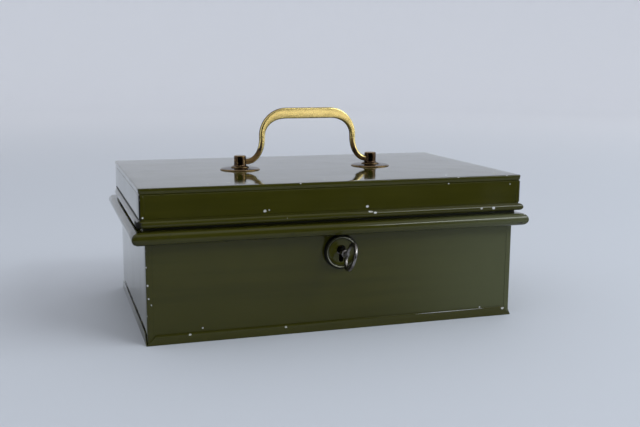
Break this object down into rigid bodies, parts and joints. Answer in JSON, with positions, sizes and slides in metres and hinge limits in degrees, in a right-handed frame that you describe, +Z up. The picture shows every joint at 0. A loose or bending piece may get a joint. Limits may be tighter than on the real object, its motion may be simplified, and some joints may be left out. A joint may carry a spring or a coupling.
{
  "type": "locking sheet-steel box with a lift-out tray",
  "caption": "Rectangular folded sheet-steel box with a hinged lid, swing handle, key lock with escutcheon, and a lift-out divided tray.",
  "frame": {"origin": "middle of the base's underside, on the surface that the box stands on", "axes": "+X along the length to the right seen from the lock, +Y to the back where the hinges are, +Z up; the lock and key are at -Y"},
  "size_m": [0.2714, 0.1936, 0.1437],
  "materials": {
    "enamel": "gloss olive-green stove enamel with small chips along the folds",
    "inner_enamel": "semi-gloss olive-green enamel",
    "polished_brass": "polished flat face, brown patina on the edges",
    "aged_brass": "dark brown patina, rubbed bright on the edges",
    "key_steel": "dark handled steel",
    "lock_brass": "plain rolled brass",
    "plated_steel": "dull plated steel",
    "hinge_steel": "steel hinges enamelled with the box"
  },
  "bodies": {
    "body": {"base_pan": "enamel", "body_front": "enamel", "body_back": "enamel", "body_left_end": "enamel", "body_right_end": "enamel", "tray_ledge_left": "inner_enamel", "tray_ledge_right": "inner_enamel", "escutcheon": "enamel", "lock_plate": "plated_steel", "lock_case": "plated_steel", "lock_ward": "lock_brass", "bolt_spring": "lock_brass", "lock_rivet_left_lower": "plated_steel", "lock_rivet_left_upper": "plated_steel", "lock_rivet_right_lower": "plated_steel", "lock_rivet_right_upper": "plated_steel", "hinge_body_leaf_left": "hinge_steel", "hinge_body_leaf_right": "hinge_steel", "hinge_pin_left": "hinge_steel", "hinge_pin_right": "hinge_steel"},
    "lid": {"lid_top": "enamel", "lid_front": "enamel", "lid_back": "enamel", "lid_left_end": "enamel", "lid_right_end": "enamel", "lid_staple": "plated_steel", "post_left": "aged_brass", "post_right": "aged_brass", "rose_left": "aged_brass", "rose_right": "aged_brass", "post_washer_left": "plated_steel", "post_washer_right": "plated_steel", "post_nut_left": "plated_steel", "post_nut_right": "plated_steel", "hinge_lid_leaf_left": "hinge_steel", "hinge_lid_leaf_right": "hinge_steel", "hinge_rivet_left_outer": "hinge_steel", "hinge_rivet_left_inner": "hinge_steel", "hinge_rivet_right_outer": "hinge_steel", "hinge_rivet_right_inner": "hinge_steel"},
    "handle": {"handle": "polished_brass"},
    "key": {"key": "key_steel"},
    "bolt": {"lock_bolt": "plated_steel"},
    "tray": {"tray_pan": "inner_enamel", "tray_long_divider": "inner_enamel", "tray_cross_divider_1": "inner_enamel", "tray_cross_divider_2": "inner_enamel", "tray_cross_divider_3": "inner_enamel", "tray_cross_divider_4": "inner_enamel", "tray_bracket_left": "plated_steel", "tray_bracket_right": "plated_steel"},
    "pull_left": {"tray_pull_left": "plated_steel"},
    "pull_right": {"tray_pull_right": "plated_steel"}
  },
  "joints": [
    {"name": "lid_hinge", "type": "hinge", "parent": "body", "child": "lid", "pos_m": [0, 0.08355, 0.0759], "axis": [-1, 0, 0], "range_deg": [0, 105]},
    {"name": "handle_swing", "type": "hinge", "parent": "lid", "child": "handle", "pos_m": [0, 0, 0.1057], "axis": [1, 0, 0], "range_deg": [-92, 92]},
    {"name": "key_turn", "type": "hinge", "parent": "body", "child": "key", "pos_m": [0, -0.08155, 0.0538], "axis": [0, 1, 0], "range_deg": [-15, 345]},
    {"name": "bolt_slide", "type": "slide", "parent": "body", "child": "bolt", "axis": [1, 0, 0], "range_m": [-0.00024, 0.00546]},
    {"name": "tray_lift", "type": "slide", "parent": "body", "child": "tray", "axis": [0, 0, 1], "range_m": [0, 0.008]},
    {"name": "pull_left_swing", "type": "hinge", "parent": "tray", "child": "pull_left", "pos_m": [-0.1202, 0.03787, 0.0804], "axis": [0, -1, 0], "range_deg": [0, 175]},
    {"name": "pull_right_swing", "type": "hinge", "parent": "tray", "child": "pull_right", "pos_m": [0.1202, 0.03787, 0.0804], "axis": [0, 1, 0], "range_deg": [0, 175]}
  ],
  "couplings": [
    {"joint": "key_turn", "follows": "bolt_slide", "rad_per_m": 1102.3}
  ]
}
